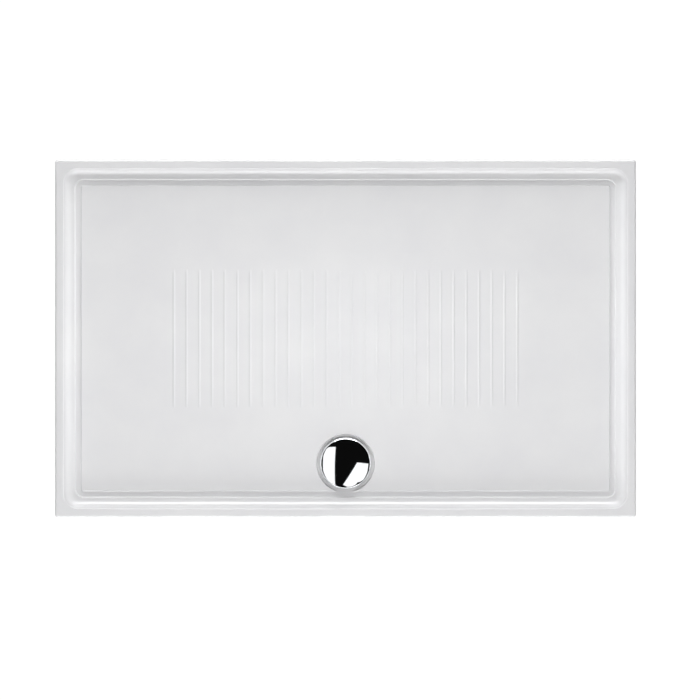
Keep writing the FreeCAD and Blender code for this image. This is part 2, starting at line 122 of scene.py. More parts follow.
tree.links.new(bump.outputs["Normal"], shader.inputs["Normal"])


def pick(mode, wanted):
    """In edit mode, selects only the parts of the mesh for which wanted says yes."""
    bpy.ops.mesh.select_mode(type=mode)
    bpy.ops.mesh.select_all(action="DESELECT")
    mesh = bmesh.from_edit_mesh(bpy.context.object.data)
    parts = {"VERT": mesh.verts, "EDGE": mesh.edges, "FACE": mesh.faces}[mode]
    for part in parts:
        if wanted(part):
            part.select_set(True)
    mesh.select_flush_mode()
    bmesh.update_edit_mesh(bpy.context.object.data)


def choose(piece):
    bpy.ops.object.select_all(action="DESELECT")
    piece.select_set(True)
    bpy.context.view_layer.objects.active = piece


def begin(name):
    """Names the primitive that was just placed, puts its place in its mesh and edits it."""
    piece = bpy.context.object
    piece.name = piece.data.name = name
    choose(piece)
    bpy.ops.object.transform_apply(location=True, rotation=True, scale=True)
    bpy.ops.object.mode_set(mode="EDIT")
    bpy.ops.mesh.select_mode(type="VERT")
    return piece


def end_edit():
    bpy.ops.mesh.select_all(action="SELECT")
    bpy.ops.mesh.remove_doubles(threshold=0.01 * MM)
    bpy.ops.mesh.normals_make_consistent(inside=False)
    bpy.ops.object.mode_set(mode="OBJECT")


def turn_all(angle, axis, height=0):
    """Turns all that is edited about a level or upright axis. Height is in mm."""
    bpy.ops.mesh.select_all(action="SELECT")
    # with no window this operator turns the other way
    bpy.ops.transform.rotate(value=-angle, orient_axis=axis, center_override=(0, 0, height * MM))


def apply_modifier(piece, kind, **settings):
    choose(piece)
    modifier = piece.modifiers.new(kind.lower(), kind)
    for name, value in settings.items():
        setattr(modifier, name, value)
    bpy.ops.object.modifier_apply(modifier=modifier.name)


def cut_with(piece, cutter, operation="DIFFERENCE"):
    apply_modifier(piece, "BOOLEAN", operation=operation, object=cutter, solver="EXACT")
    bpy.data.objects.remove(cutter, do_unlink=True)
    bpy.ops.object.mode_set(mode="EDIT")
    bpy.ops.mesh.select_mode(type="VERT")
    bpy.ops.mesh.select_all(action="SELECT")
    bpy.ops.mesh.remove_doubles(threshold=0.0005 * MM)
    bpy.ops.object.mode_set(mode="OBJECT")


def smooth(piece, angle=35, weighted=True):
    choose(piece)
    bpy.ops.object.shade_smooth_by_angle(angle=math.radians(angle))
    if weighted:
        apply_modifier(piece, "WEIGHTED_NORMAL", keep_sharp=True, weight=80)


def join(pieces):
    bpy.ops.object.select_all(action="DESELECT")
    for piece in pieces:
        piece.select_set(True)
    bpy.context.view_layer.objects.active = pieces[0]
    bpy.ops.object.join()
    return pieces[0]


def arc(start, stop, steps, skip_first=False):
    """Angles in radians, from start to stop in degrees."""
    angles = [math.radians(start + (stop - start) * i / steps) for i in range(steps + 1)]
    return angles[1:] if skip_first else angles


# Each line round the tray: how far in from the outer face, corner radius, height, and how much
# of the floor's slope it takes. Heights from the cove down are measured from the floor.
OUTER_CORNER, FOOT_EDGE, RIM_EDGE = 6.5, 3, 5      # the outer face's corners and roundings
RIM_WIDTH, LIP, LIP_CORNER, LIP_SLOPE = 17, 3, 35, 0.136
COVE = 24
GROOVE_OUT, GROOVE_IN = 44, 58                     # how far in the groove's two walls stand
GROOVE_CORNER, FLOOR_CORNER = 20, 3                # the corners of those walls
EDGE, ROOT = 1.5, 2                                # the groove's roundings, top and bottom
lines = []


def round_off(start, stop, steps, inset, corner, height, size, slope_share=1):
    """Adds the lines of a rounding. Inset, corner and height are those of its middle."""
    for turn in arc(start, stop, steps):
        lines.append((inset + size * math.cos(turn), corner - size * math.cos(turn),
                      height + size * math.sin(turn), slope_share))


round_off(90, 0, 3, FOOT_EDGE, OUTER_CORNER - FOOT_EDGE, FOOT_Z + FOOT_EDGE, -FOOT_EDGE, 0)
for turn in arc(0, 90, 6):
    lines.append((RIM_EDGE - RIM_EDGE * math.cos(turn),
                  OUTER_CORNER - RIM_EDGE + RIM_EDGE * math.cos(turn),
                  RIM_Z - RIM_EDGE + RIM_EDGE * math.sin(turn), 0))
for turn in arc(90, 0, 5):
    lines.append((RIM_WIDTH + LIP * math.cos(turn), LIP_CORNER - LIP * math.cos(turn),
                  RIM_Z - LIP + LIP * math.sin(turn), LIP_SLOPE * (1 - math.sin(turn))))
for turn in arc(76, 4, 14):
    rise = COVE - COVE * math.cos(turn)
    inward = COVE - COVE * math.sin(turn)
    lines.append((RIM_WIDTH + LIP + inward, LIP_CORNER - LIP - inward, FLOOR_Z + rise,
                  1 - rise / (RIM_Z - FLOOR_Z)))
round_off(90, 0, 4, GROOVE_OUT - EDGE, GROOVE_CORNER + EDGE, FLOOR_Z - EDGE, EDGE)
round_off(180, 270, 4, GROOVE_OUT + ROOT, GROOVE_CORNER - ROOT, FLOOR_Z - ROOT, ROOT)
round_off(278, 360, 4, GROOVE_IN - ROOT, FLOOR_CORNER + ROOT, FLOOR_Z - ROOT, ROOT)
round_off(180, 90, 4, GROOVE_IN + EDGE, FLOOR_CORNER - EDGE, FLOOR_Z - EDGE, EDGE)

for number, (inset, corner, height, slope_share) in enumerate(lines):
    bpy.ops.object.select_all(action="DESELECT")
    bpy.ops.mesh.primitive_plane_add(size=MM, location=(0, 0, height * MM))
    line = begin("line")
    bpy.ops.mesh.select_all(action="SELECT")
    bpy.ops.transform.resize(value=(LENGTH - 2 * inset, WIDTH - 2 * inset, 1),
                             center_override=(0, 0, height * MM))
    bpy.ops.mesh.bevel(offset=max(corner, 0.4) * MM, segments=CORNER_STEPS, affect="VERTICES")
    turn_all(FALL * slope_share, "X", height)
    if 0 < number < len(lines) - 1:
        bpy.ops.mesh.delete(type="ONLY_FACE")
    bpy.ops.object.mode_set(mode="OBJECT")
    if number == 0:
        tray = line
        tray.name = tray.data.name = "shower_tray"
        upper = set(range(len(tray.data.vertices)))
        continue
    before = len(tray.data.vertices)
    join([tray, line])
    bpy.ops.object.mode_set(mode="EDIT")
    fresh = set(range(before, len(tray.data.vertices)))
    both_lines = upper | fresh
    pick("EDGE", lambda e: all(v.index in both_lines for v in e.verts)
         and (e.verts[0].index in fresh) == (e.verts[1].index in fresh))
    bpy.ops.mesh.bridge_edge_loops()
    bpy.ops.object.mode_set(mode="OBJECT")
    upper = fresh
tray.data.materials.append(glaze)
tray.data.materials.append(bare_clay)

# The ridges are raised on the floor: cut lines for feet and crests, crests lifted and rounded.
RIDGES, PITCH, HALF_RIDGE, RIDGE_HEIGHT = 28, 28.5, 3.5, 1.6
crests = [PITCH * (i - (RIDGES - 1) / 2) * MM for i in range(RIDGES)]
field_x = crests[-1] + HALF_RIDGE * MM
END_Y = 156 * MM
RIDGE_ROWS = ((0, 1.0), (0.33, 0.88), (0.66, 0.54))     # shares of half its width and of its height
RIDGE_LIFTS = ((END_Y - 4 * MM, 0.3), (147 * MM, 0.4), (134 * MM, 0.3))    # reach, share of lift
LIFTED = 1.3 * MM       # more than a ridge stands up before its last lift


def floor_height(y):
    return FLOOR_Z * MM + y * math.tan(FALL)


def slice_floor(point, normal, reach_x=0.6, reach_y=0.35):
    def in_field(face):
        middle = face.calc_center_median()
        return (face.normal.z > 0.99 and abs(middle.x) < reach_x and abs(middle.y) < reach_y
                and abs(middle.z - floor_height(middle.y)) < 0.2 * MM)
    pick("FACE", in_field)
    bpy.ops.mesh.bisect(plane_co=point, plane_no=normal)


def on_ridge(point, reach, aside):
    return (abs(point.y) < reach + 0.1 * MM
            and any(abs(abs(point.x - x) - aside) < 0.05 * MM for x in crests))


begin("shower_tray")
for side in (-1, 1):
    slice_floor((0, side * END_Y, 0), (0, 1, 0))
for side in (-1, 1):
    slice_floor((side * field_x, 0, 0), (1, 0, 0), reach_y=END_Y)
for reach, share in RIDGE_LIFTS:
    for side in (-1, 1):
        slice_floor((0, side * reach, 0), (0, 1, 0), reach_x=field_x, reach_y=END_Y)
for x in crests:
    for step in (-1, -0.66, -0.33, 0, 0.33, 0.66, 1):
        cut_x = x + step * HALF_RIDGE * MM
        if abs(cut_x) < field_x - 0.1 * MM:
            slice_floor((cut_x, 0, 0), (1, 0, 0), reach_x=field_x, reach_y=END_Y)
for aside, height in RIDGE_ROWS:
    for reach, share in RIDGE_LIFTS:
        pick("VERT", lambda v: on_ridge(v.co, reach, aside * HALF_RIDGE * MM)
             and abs(v.co.z - floor_height(v.co.y)) < LIFTED)
        bpy.ops.transform.translate(value=(0, 0, share * height * RIDGE_HEIGHT * MM))
pick("FACE", lambda f: f.calc_center_median().z < (FOOT_Z + 2.5) * MM)
bpy.context.object.active_material_index = 1
bpy.ops.object.material_slot_assign()
end_edit()


def turned(name, profile, steps, x=0.0, y=0.0):
    """Turns a profile of (radius, height) in mm about the upright axis through x, y."""
    first = Vector((x + profile[0][0], y, profile[0][1])) * MM
    bpy.ops.object.select_all(action="DESELECT")
    bpy.ops.mesh.primitive_plane_add(size=MM, location=first)
    piece = begin(name)
    bpy.ops.mesh.select_all(action="SELECT")
    bpy.ops.mesh.merge(type="CENTER")
    for (r0, z0), (r1, z1) in zip(profile, profile[1:]):
        bpy.ops.mesh.extrude_region_move(
            TRANSFORM_OT_translate={"value": ((r1 - r0) * MM, 0, (z1 - z0) * MM)})
    bpy.ops.mesh.select_all(action="SELECT")
    bpy.ops.mesh.spin(steps=steps, angle=2 * math.pi, center=(x * MM, y * MM, 0),
                      axis=(0, 0, 1))
    end_edit()
    return piece


# The round dish over the groove, with the sunk seat of the waste and the hole in its middle.
seat_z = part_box("flange_gasket")[0].z / MM
dish_z = seat_z + 7.5
waste_floor_z = seat_z + 12
dish = [(0, FOOT_Z - 5), (45, FOOT_Z - 5), (45, seat_z), (55, seat_z), (55, dish_z - 0.8)]
dish += [(55.8 - 0.8 * math.cos(turn), dish_z - 0.8 + 0.8 * math.sin(turn))
         for turn in arc(0, 90, 3, skip_first=True)]
dish += [(63 + 2 * math.cos(turn), dish_z + 2 + 2 * math.sin(turn)) for turn in arc(-90, 0, 6)]
dish += [(67 + 2 * math.cos(turn), waste_floor_z - 2 + 2 * math.sin(turn))
         for turn in arc(180, 90, 6)]
dish += [(67, RIM_Z + 5), (0, RIM_Z + 5)]
dish_cutter = turned("dish", dish, 128, 0, WASTE_Y)
dish_cutter.data.materials.append(glaze)
cut_with(tray, dish_cutter)

# The hollow underside, with webs and round bosses left standing for the feet and the waste.
feet = {name[10:]: (round((low.x + high.x) / 2 / MM, 1), round((low.y + high.y) / 2 / MM, 1))
        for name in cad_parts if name.startswith("sole_foot_")
        for low, high in [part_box(name)]}
BOSS_FACE_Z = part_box("pad_foot_front_left")[1].z / MM
SKIRT, WEB, SHELL = 20, 12, 14                     # thickness of skirt, webs and floor
FOOT_BOSS, WASTE_BOSS = 36, 74                     # radius of the bosses


def cutting_block(name, x0, x1, y0, y1, low, high, corner, edge):
    bpy.ops.object.select_all(action="DESELECT")
    bpy.ops.mesh.primitive_cube_add(size=1, location=((x0 + x1) / 2 * MM, (y0 + y1) / 2 * MM,
                                                      (low + high) / 2 * MM),
                                    scale=((x1 - x0) * MM, (y1 - y0) * MM, (high - low) * MM))
    block = begin(name)
    pick("EDGE", lambda e: abs(e.verts[0].co.z - e.verts[1].co.z) > 1 * MM)
    bpy.ops.mesh.bevel(offset=corner * MM, segments=6, affect="EDGES")
    pick("EDGE", lambda e: all(v.co.z > (high - 0.01) * MM for v in e.verts))
    bpy.ops.mesh.bevel(offset=edge * MM, segments=4, affect="EDGES")
    bpy.ops.object.mode_set(mode="OBJECT")
    return block


sink = cutting_block("sink", -LENGTH / 2 + SKIRT, LENGTH / 2 - SKIRT, -WIDTH / 2 + SKIRT,
                     WIDTH / 2 - SKIRT, FOOT_Z - 5, BOSS_FACE_Z, 20, 4)
web_x = sorted({x for x, y in feet.values()})
web_y = sorted({y for x, y in feet.values()})
pockets = []
half_web = WEB / 2
columns = [-LENGTH / 2 + SKIRT - half_web] + web_x + [LENGTH / 2 - SKIRT + half_web]
rows = [-WIDTH / 2 + SKIRT - half_web] + web_y + [WIDTH / 2 - SKIRT + half_web]
# The pockets lean with the floor, so they start well under the bosses' level, or a skin would
# be left under the ones at the back.
for x0, x1 in zip(columns, columns[1:]):
    for y0, y1 in zip(rows, rows[1:]):
        pocket = cutting_block("pocket", x0 + half_web, x1 - half_web, y0 + half_web,
                               y1 - half_web, BOSS_FACE_Z - 6, FLOOR_Z - SHELL, 12, 5)
        bpy.ops.object.mode_set(mode="EDIT")
        turn_all(FALL, "X", FLOOR_Z - SHELL)
        bpy.ops.object.mode_set(mode="OBJECT")
        pockets.append(pocket)
pockets = join(pockets)
bosses = []
for x, y, radius in ([(x, y, FOOT_BOSS) for x, y in feet.values()]
                     + [(0, WASTE_Y, WASTE_BOSS)]):
    bpy.ops.object.select_all(action="DESELECT")
    bpy.ops.mesh.primitive_cylinder_add(vertices=96, radius=radius * MM, depth=60 * MM,
                                        location=(x * MM, y * MM, 120 * MM))
    begin("boss")
    bpy.ops.object.mode_set(mode="OBJECT")
    bosses.append(bpy.context.object)
cut_with(pockets, join(bosses))
for cutter in (sink, pockets):
    cutter.data.materials.append(bare_clay)
    cut_with(tray, cutter)
smooth(tray)
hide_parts("tray")
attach(tray, "tray_body")

# ---------------------------------------------------------------- waste cover
# The cover that shows in the tray: a pressed brass dome, polished and chrome plated, with a
# bevel that rolls over to its edge. A moulded carrier is clipped under it and its feet stand on the
# waste's flange, so that water runs in under the edge and the cover lifts straight off.
cover_low, cover_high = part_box("dome_cover")
COVER_RADIUS = round((cover_high.x - cover_low.x) / 2 / MM, 1)
COVER_Z, COVER_TOP = cover_low.z / MM, cover_high.z / MM
BEVEL_WIDTH, BEVEL_HEIGHT, EDGE_HEIGHT, WALL = 3.6, 4.2, 1.0, 1.5

# Chrome plating, buffed before it was plated: a full mirror, a little blue-grey, with the
# finest of polishing hairlines (0.3 mm apart) that only soften the edges of a reflection.
chrome, tree, place, shader = new_material("chrome_plated_brass", {
    "Metallic": 1.0, "Roughness": 0.035})
hairs = add_node(tree, "ShaderNodeTexNoise", None,
                 {"Vector": place, "Scale": 3000.0, "Detail": 1.0})
ramp = add_node(tree, "ShaderNodeValToRGB", None, {"Fac": hairs.outputs["Fac"]},
                [(0.3, "#E4E6E9"), (0.7, "#ECEDEF")])
tree.links.new(ramp.outputs["Color"], shader.inputs["Base Color"])

crown = COVER_TOP - COVER_Z - EDGE_HEIGHT - BEVEL_HEIGHT
shoulder = COVER_RADIUS - BEVEL_WIDTH
ball = (shoulder ** 2 + crown ** 2) / (2 * crown)


def under_crown(radius, depth=0.0):
    """Height of the crown's ball at a radius, depth under its outer face."""
    return COVER_TOP - ball + math.sqrt((ball - depth) ** 2 - radius ** 2)


steps = 26
dome = [(shoulder * i / steps, under_crown(shoulder * i / steps)) for i in range(steps + 1)]
rolled = [(20, 0.3), (26, 0.3), (36, 0.6), (40, 0.6), (44, 0.6), (50, 0.4), (62, 0.3), (74, 0.3)]
for tilt, step in rolled:    # the bevel rolls over from the crown to the edge
    radius, height = dome[-1]
    dome.append((radius + step, height - step * math.tan(math.radians(tilt))))
dome += [(COVER_RADIUS, COVER_Z + EDGE_HEIGHT), (COVER_RADIUS, COVER_Z),
         (COVER_RADIUS - WALL, COVER_Z), (COVER_RADIUS - WALL, COVER_Z + EDGE_HEIGHT - 0.6)]
inner = shoulder - 0.6
dome += [(inner * i / 12, under_crown(inner * i / 12, WALL)) for i in range(12, -1, -1)]
cover = turned("chrome_dome", dome, 160, 0, WASTE_Y)
bpy.ops.object.mode_set(mode="EDIT")
centre = Vector((0, WASTE_Y * MM))
pick("EDGE", lambda e: all(abs((v.co.xy - centre).length - COVER_RADIUS * MM) < 0.02 * MM
                           and v.co.z > COVER_Z * MM + 0.1 * MM for v in e.verts)
     and abs(e.verts[0].co.z - e.verts[1].co.z) < 0.01 * MM)
bpy.ops.mesh.bevel(offset=0.45 * MM, segments=3, affect="EDGES")
bpy.ops.object.mode_set(mode="OBJECT")
smooth(cover, 40, weighted=False)
cover.data.materials.append(chrome)
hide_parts("dome_cover")
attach(cover, "waste_cover")

# ---------------------------------------------------------------- waste flange and its gasket
# A moulded flange that lies in the tray's sunk seat on a rubber gasket. Its collar goes down
# through the hole and screws into the trap, which clamps the ceramic between two gaskets.
# The collar's bore has the ledge that carries the dip tube.


def rounded(corners, steps=4):
    """A closed outline from corners (radius, height, rounding), with the roundings drawn in."""
    points = []
    for i, (r, z, size) in enumerate(corners):
        here = Vector((r, z))
        if not size:
            points.append(here)
            continue
        back = (Vector(corners[i - 1][:2]) - here).normalized()
        on = (Vector(corners[(i + 1) % len(corners)][:2]) - here).normalized()
        half = back.angle(on) / 2
        centre = here + (back + on).normalized() * size / math.sin(half)
        start = here + back * size / math.tan(half) - centre
        stop = here + on * size / math.tan(half) - centre
        first = math.atan2(start.y, start.x)
        sweep = (math.atan2(stop.y, stop.x) - first + math.pi) % (2 * math.pi) - math.pi
        points += [centre + size * Vector((math.cos(first + sweep * k / steps),
                                           math.sin(first + sweep * k / steps)))
                   for k in range(steps + 1)]
    return points + points[:1]


def finish(piece, material, body, slot, *nodes, angle=35):
    smooth(piece, angle, weighted=False)
    piece.data.materials.clear()
    piece.data.materials.append(material)
    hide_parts(*nodes)
    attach(piece, body)


def copy_to(piece, name, x, y):
    """A copy with its own mesh, moved by x and y in mm."""
    copy = piece.copy()
    copy.data = piece.data.copy()
    copy.name = copy.data.name = name
    bpy.context.scene.collection.objects.link(copy)
    choose(copy)
    copy.location = (x * MM, y * MM, 0)
    bpy.ops.object.transform_apply(location=True, rotation=False, scale=False)
    return copy


def levels(node):
    """Lowest and highest height of a CAD node, in mm."""
    low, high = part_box(node)
    return round(low.z / MM, 2), round(high.z / MM, 2)


# Injection-moulded polypropylene: milky white with a little light let in, a satin skin, and
# flow clouds some 40 mm across. The mould's fine grain is 0.5 mm.
polypropylene, tree, place, shader = new_material("moulded_white_polypropylene", {
    "Roughness": 0.36, "IOR": 1.49, "Subsurface Weight": 0.15, "Subsurface Scale": 0.002})
cloud = add_node(tree, "ShaderNodeTexNoise", None, {"Vector": place, "Scale": 25.0, "Detail": 4.0})
ramp = add_node(tree, "ShaderNodeValToRGB", None, {"Fac": cloud.outputs["Fac"]},
                [(0.3, "#DFE0DC"), (0.7, "#EAEAE7")])
tree.links.new(ramp.outputs["Color"], shader.inputs["Base Color"])
grain = add_node(tree, "ShaderNodeTexNoise", None, {"Vector": place, "Scale": 2000.0,
                                                    "Detail": 2.0})
bump = add_node(tree, "ShaderNodeBump", None,
                {"Strength": 0.2, "Distance": 0.0001, "Height": grain.outputs["Fac"]})
tree.links.new(bump.outputs["Normal"], shader.inputs["Normal"])

# Moulded EPDM rubber: nearly black and dull, with a slight grey bloom in cloudy patches and a
# skin that is finely pitted.
rubber, tree, place, shader = new_material("moulded_epdm_rubber", {
    "IOR": 1.52, "Specular IOR Level": 0.35})
bloom = add_node(tree, "ShaderNodeTexNoise", None, {"Vector": place, "Scale": 60.0, "Detail": 5.0})
ramp = add_node(tree, "ShaderNodeValToRGB", None, {"Fac": bloom.outputs["Fac"]},
                [(0.4, "#1B1C1D"), (0.75, "#2C2D2E")])
tree.links.new(ramp.outputs["Color"], shader.inputs["Base Color"])
dull = add_node(tree, "ShaderNodeMapRange", None, {"Value": bloom.outputs["Fac"],
                                                   "To Min": 0.62, "To Max": 0.85})
tree.links.new(dull.outputs["Result"], shader.inputs["Roughness"])
pits = add_node(tree, "ShaderNodeTexNoise", None, {"Vector": place, "Scale": 2600.0})
bump = add_node(tree, "ShaderNodeBump", None,
                {"Strength": 0.3, "Distance": 0.0001, "Height": pits.outputs["Fac"]})
tree.links.new(bump.outputs["Normal"], shader.inputs["Normal"])

low, high = levels("flange_gasket")
gasket = turned("flange_gasket_ring", rounded([
    (46, low, 0.5), (48.2, low, 0), (48.5, low + 0.35, 0), (48.8, low, 0), (51, low, 0.5),
    (51, high, 0.5), (48.8, high, 0), (48.5, high - 0.35, 0), (48.2, high, 0),
    (46, high, 0.5)]), 96, 0, WASTE_Y)
finish(gasket, rubber, "tray_body", "black_rubber", "flange_gasket")

end, top = levels("waste_flange")
ledge = top - 13
FLANGE_RADIUS, COLLAR_CREST, COLLAR_ROOT = 52, 43, 42.4
COLLAR_BORE, LEDGE_BORE = 39.5, 35.5
screw = [(COLLAR_CREST if i % 2 else COLLAR_ROOT, end + 1.2 + i, 0) for i in range(27)]
flange = turned("flange_and_collar", rounded([
    (COLLAR_BORE, top, 0.8), (FLANGE_RADIUS, top, 0.9), (FLANGE_RADIUS, top - 3, 0.6),
    (COLLAR_CREST, top - 3, 0.4), (COLLAR_CREST, top - 5, 0)] + screw[::-1]
    + [(42.2, end, 0.3), (COLLAR_BORE, end, 0.4), (COLLAR_BORE, ledge - 2, 0.3),
       (LEDGE_BORE, ledge - 2, 0.4), (LEDGE_BORE, ledge, 0.4), (COLLAR_BORE, ledge, 0.3)]),
    112, 0, WASTE_Y)
finish(flange, polypropylene, "tray_body", "white_polypropylene", "waste_flange")

# ---------------------------------------------------------------- dip tube and its O-ring
# The tube that hangs in the waste on the collar's ledge and dips into the trap's water. It is
# moulded with a wide head, a cone and a plain pipe, and an O-ring in its groove seals it.
mouth, top = levels("dip_tube")
seat = ledge
tube = turned("dipping_tube", rounded([
    (35.2, top, 0.6), (39.2, top, 0.7), (39.2, seat + 5.1, 0.15), (36.3, seat + 5.1, 0.15),
    (36.3, seat + 1.9, 0.15), (39.2, seat + 1.9, 0.15), (39.2, seat, 0.4), (35.2, seat, 0.2),
    (35.2, seat - 2, 1.5), (30, seat - 11, 4), (30, mouth, 0.6), (28, mouth, 0.6),
    (28, seat - 11, 3), (33.2, seat - 2, 1), (32.2, seat, 0.2), (32.2, seat + 2, 0.4),
    (35.2, seat + 2, 0.3)]), 96, 0, WASTE_Y)
finish(tube, polypropylene, "dip_tube", "white_polypropylene", "dip_tube")

low, high = levels("dip_tube_o_ring")
middle = (low + high) / 2
outline = [(37.9 + 1.5 * math.cos(turn), middle + 1.5 * math.sin(turn))
           for turn in arc(0, 360, 20)]
o_ring = turned("o_ring", outline, 96, 0, WASTE_Y)
finish(o_ring, rubber, "dip_tube", "black_rubber", "dip_tube_o_ring")

# ---------------------------------------------------------------- hair strainer
# A shallow moulded cup with three rings of holes, which lies on the ledge in the dip tube. The
# socket in its middle takes the stem of the cover's carrier.
low, high = levels("hair_strainer")
strainer = turned("strainer_cup", rounded([
    (4.3, high, 0.3), (6.8, high, 0.5), (6.8, low + 2, 0.8), (32.9, low + 2, 0.8),
    (32.9, high, 0.4), (34.9, high, 0.6), (34.9, low, 0.6), (4.3, low, 0.4)]), 96, 0, WASTE_Y)
drill = turned("drill", [(0, low - 1), (3.4, low - 1), (3.2, low), (2.6, low + 0.6),
                         (2.6, low + 1.4), (3.2, low + 2), (3.4, low + 3), (0, low + 3)], 16)
drills = [drill]
for count, radius in ((8, 12), (13, 19.5), (18, 27)):
    for turn in arc(0, 360 - 360 / count, count - 1):
        drills.append(copy_to(drill, "drill", radius * math.cos(turn),
                              WASTE_Y + radius * math.sin(turn)))
cut_with(strainer, join(drills))
finish(strainer, polypropylene, "hair_strainer", "white_polypropylene", "hair_strainer")

# ---------------------------------------------------------------- cover's carrier
# A moulded spider of four fins under the dome. The fins' feet stand on the flange, and a stem
# goes down into the strainer's socket and keeps the cover in the middle.
low, high = levels("cover_carrier")
foot = levels("waste_flange")[1]
room = [(0, foot), (56.4, foot), (56.4, COVER_Z + EDGE_HEIGHT - 0.9)]
room += [(52.2 * i / 10, under_crown(52.2 * i / 10, WALL + 0.1)) for i in range(10, -1, -1)]
room = turned("room", room, 96, 0, WASTE_Y)
bars = []
for turn in (45, 135):
    bar = cutting_block("bar", -56.4, 56.4, -1.5, 1.5, foot, COVER_TOP, 0.4, 0.2)
    for start, stop in ((-70, -52), (-45, 45), (52, 70)):
        cut_with(bar, cutting_block("gap", start, stop, -3, 3, foot - 1, COVER_Z, 0.5, 0.4))
    bpy.context.view_layer.objects.active = bar
    bpy.ops.object.mode_set(mode="EDIT")
    turn_all(math.radians(turn), "Z")
    bpy.ops.transform.translate(value=(0, WASTE_Y * MM, 0))
    bpy.ops.object.mode_set(mode="OBJECT")
    bars.append(bar)
carrier = turned("carrier_spider", [(0, high + 5), (9, high + 5), (9, foot - 1), (0, foot - 1)],
                 48, 0, WASTE_Y)
for bar in bars:
    cut_with(carrier, bar, "UNION")
cut_with(carrier, room, "INTERSECT")
stem = turned("stem", rounded([(0, COVER_Z + 1, 0), (4, COVER_Z + 1, 0), (4, low, 0.8),
                               (0, low, 0)])[:-1], 48, 0, WASTE_Y)
cut_with(carrier, stem, "UNION")
finish(carrier, polypropylene, "waste_cover", "white_polypropylene", "cover_carrier")

# ---------------------------------------------------------------- trap: gasket, head and weir
# The head is a moulded ring that is welded onto the bowl. The waste's collar screws into it and
# presses the upper gasket to the ceramic. The weir stands in the bowl and holds the water seal.
TRAP_RADIUS, WEIR_BORE, WEIR_RADIUS = 60, 38, 40.5
low, high = levels("trap_gasket")
ribs = []
for r in (49, 52.5, 56):
    ribs += [(r - 0.5, low, 0), (r, low + 0.5, 0), (r + 0.5, low, 0)]
ribs += [(59, low, 0.7), (59, high, 0.7)]
for r in (56, 52.5, 49):
    ribs += [(r + 0.5, high, 0), (r, high - 0.5, 0), (r - 0.5, high, 0)]
gasket = turned("trap_gasket_ring", rounded(
    ribs + [(46, high, 0.7), (46, low, 0.7)]), 96, 0, WASTE_Y)
finish(gasket, rubber, "tray_body", "black_rubber", "trap_gasket")

end, top = levels("trap_head")
screw = [(43.2 if i % 2 else 43.8, end + 1 + i, 0) for i in range(16)]
head = turned("trap_head_ring", rounded(
    [(TRAP_RADIUS, top, 1.2), (TRAP_RADIUS, top - 5, 0.4), (46.5, top - 5, 1.5), (46.5, end, 0.8),
     (43.8, end, 0.3)] + screw + [(43.2, top, 0.8)]), 112, 0, WASTE_Y)
finish(head, polypropylene, "tray_body", "white_polypropylene", "trap_head")

low, high = levels("trap_weir")
weir = turned("weir_ring", rounded([
    (WEIR_BORE, low, 0.2), (WEIR_RADIUS, low, 0.2), (WEIR_RADIUS, high, 1), (WEIR_BORE, high, 1)]),
    96, 0, WASTE_Y)
finish(weir, polypropylene, "tray_body", "white_polypropylene", "trap_weir")

# ---------------------------------------------------------------- trap bowl and its outlet
# A moulded bowl with a level outlet spigot at its back. The spigot has a coarse outside thread
# for the union nut and is bored for the waste pipe, which goes in up to a stop.
low, high = levels("trap_bowl")
OUTLET_Z, MOUTH_Y = 48.18, -188


def laid_back(piece):
    """Lays a piece that was turned about Z so that its heights run along Y, on the outlet."""
    choose(piece)
    bpy.ops.object.mode_set(mode="EDIT")
    turn_all(-math.radians(90), "X")
    bpy.ops.transform.translate(value=(0, 0, OUTLET_Z * MM))
    bpy.ops.object.mode_set(mode="OBJECT")
    return piece


def threaded_bar(name, crest, root, pitch, low, high, steps):
    """A bar about Z with a screw thread rolled or moulded on it, cut off flat at both ends."""
    bpy.ops.object.select_all(action="DESELECT")
    bpy.ops.mesh.primitive_plane_add(size=MM, location=(root * MM, 0, (low - 1.2 * pitch) * MM))
    bar = begin(name)
    bpy.ops.mesh.select_all(action="SELECT")
    bpy.ops.mesh.merge(type="CENTER")
    for out, up in ((0, 0.14), (1, 0.29), (0, 0.14), (-1, 0.29), (0, 0.14)):
        bpy.ops.mesh.extrude_region_move(TRANSFORM_OT_translate={
            "value": (out * (crest - root) * MM, 0, up * pitch * MM)})
    bpy.ops.object.mode_set(mode="OBJECT")
    apply_modifier(bar, "SCREW", angle=2 * math.pi, screw_offset=pitch * MM, axis="Z",
                   iterations=int((high - low) / pitch) + 3, steps=steps, render_steps=steps,
                   use_merge_vertices=True, merge_threshold=0.002 * MM)
    bpy.ops.object.mode_set(mode="EDIT")
    for height, side in ((low, {"clear_inner": True}), (high, {"clear_outer": True})):
        bpy.ops.mesh.select_all(action="SELECT")
        bpy.ops.mesh.bisect(plane_co=(0, 0, height * MM), plane_no=(0, 0, 1), use_fill=True,
                            threshold=0.001 * MM, **side)
    end_edit()
    return bar


bowl = turned("bowl_and_spigot", rounded([
    (0, low, 0), (TRAP_RADIUS, low, 7), (TRAP_RADIUS, high - 11.6, 0), (59.4, high - 11, 0),
    (59.4, high - 9.6, 0), (TRAP_RADIUS, high - 9, 0), (TRAP_RADIUS, high, 0.4), (0, high, 0)],
    steps=6)[:-1], 128, 0, WASTE_Y)
spigot = laid_back(turned("spigot", [(0, -250), (24.15, -250), (24.15, -213.2), (22.8, -211.8),
                                     (0, -211.8)], 64))
screw = laid_back(threaded_bar("screw", 24.15, 23.3, 2.5, -212.5, MOUTH_Y, 64))
inside = turned("inside", rounded([
    (0, low + 3, 0), (WEIR_BORE, low + 3, 0), (WEIR_BORE, low + 2, 0), (WEIR_RADIUS, low + 2, 0),
    (WEIR_RADIUS, low + 3, 0), (57, low + 3, 4), (57, high + 1, 0), (0, high + 1, 0)])[:-1],
    128, 0, WASTE_Y)
